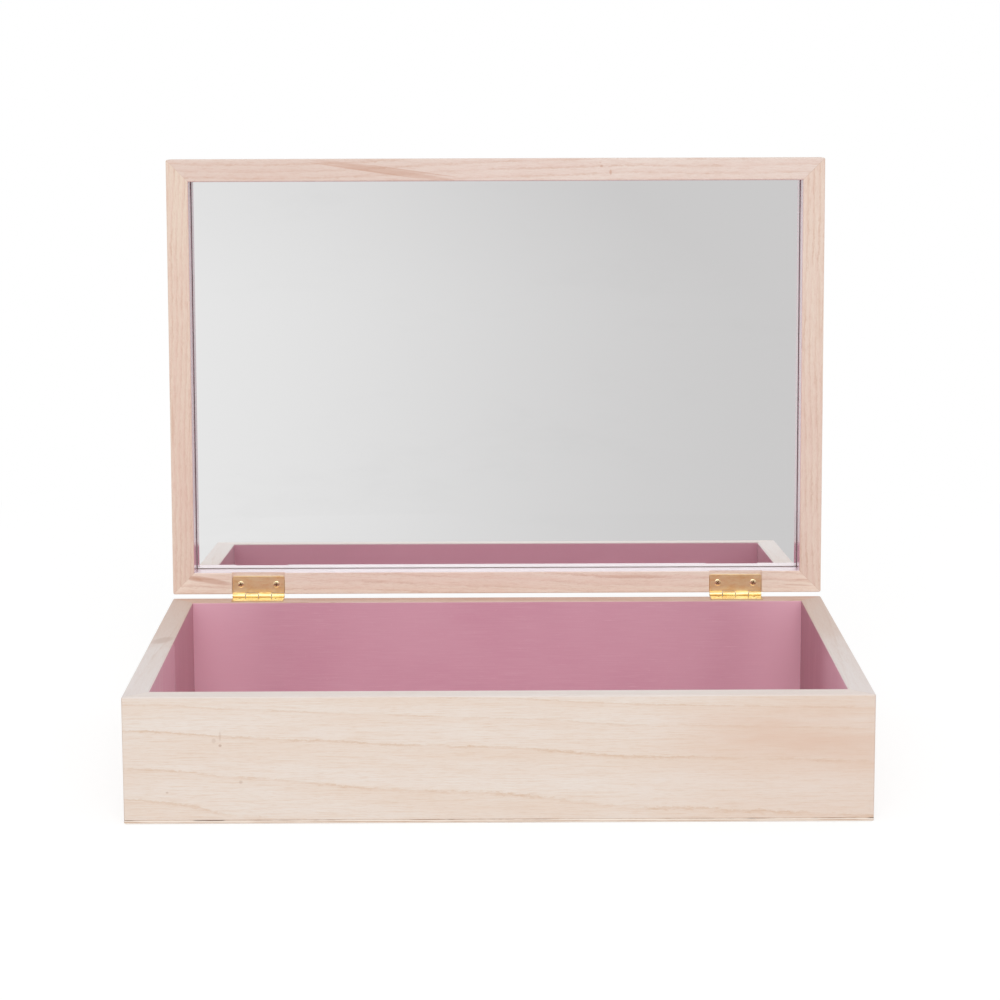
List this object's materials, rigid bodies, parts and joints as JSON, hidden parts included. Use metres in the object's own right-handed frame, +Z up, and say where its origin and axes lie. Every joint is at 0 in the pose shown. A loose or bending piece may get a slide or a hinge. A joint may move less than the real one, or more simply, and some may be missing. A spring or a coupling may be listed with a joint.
{
  "type": "mirrored storage box",
  "caption": "Shallow rectangular wooden box with mitred walls, a painted inside and a hinged lid that holds a deep-set mirror.",
  "frame": {"origin": "middle of the base panel's underside", "axes": "+X along the box to the right, +Y towards the hinges at the back, +Z up"},
  "size_m": [0.3, 0.2245, 0.2538],
  "materials": {
    "box_wood": "bare pale wood, painted dusty pink inside",
    "lid_wood": "bare pale wood, painted inside",
    "plywood": "bare thin plywood",
    "mirror": "silvered glass",
    "tape": "double-sided foam tape",
    "hinge_brass": "polished",
    "screw_brass": "polished"
  },
  "bodies": {
    "box": {"box_front_wall": "box_wood", "box_back_wall": "box_wood", "box_left_wall": "box_wood", "box_right_wall": "box_wood", "box_base_panel": "plywood", "hinge_left_box_leaf": "hinge_brass", "hinge_left_pin": "hinge_brass", "hinge_left_box_screw_left": "screw_brass", "hinge_left_box_screw_right": "screw_brass", "hinge_right_box_leaf": "hinge_brass", "hinge_right_pin": "hinge_brass", "hinge_right_box_screw_left": "screw_brass", "hinge_right_box_screw_right": "screw_brass"},
    "lid": {"lid_front_rail": "lid_wood", "lid_back_rail": "lid_wood", "lid_left_rail": "lid_wood", "lid_right_rail": "lid_wood", "lid_top_panel": "plywood", "mirror": "mirror", "mirror_tape_left": "tape", "mirror_tape_middle": "tape", "mirror_tape_right": "tape", "hinge_left_lid_leaf": "hinge_brass", "hinge_left_lid_screw_left": "screw_brass", "hinge_left_lid_screw_right": "screw_brass", "hinge_right_lid_leaf": "hinge_brass", "hinge_right_lid_screw_left": "screw_brass", "hinge_right_lid_screw_right": "screw_brass"}
  },
  "joints": [
    {"name": "lid_hinge", "type": "hinge", "parent": "box", "child": "lid", "pos_m": [0, 0.1008, 0.0531], "axis": [1, 0, 0], "range_deg": [0, 91.9]}
  ]
}
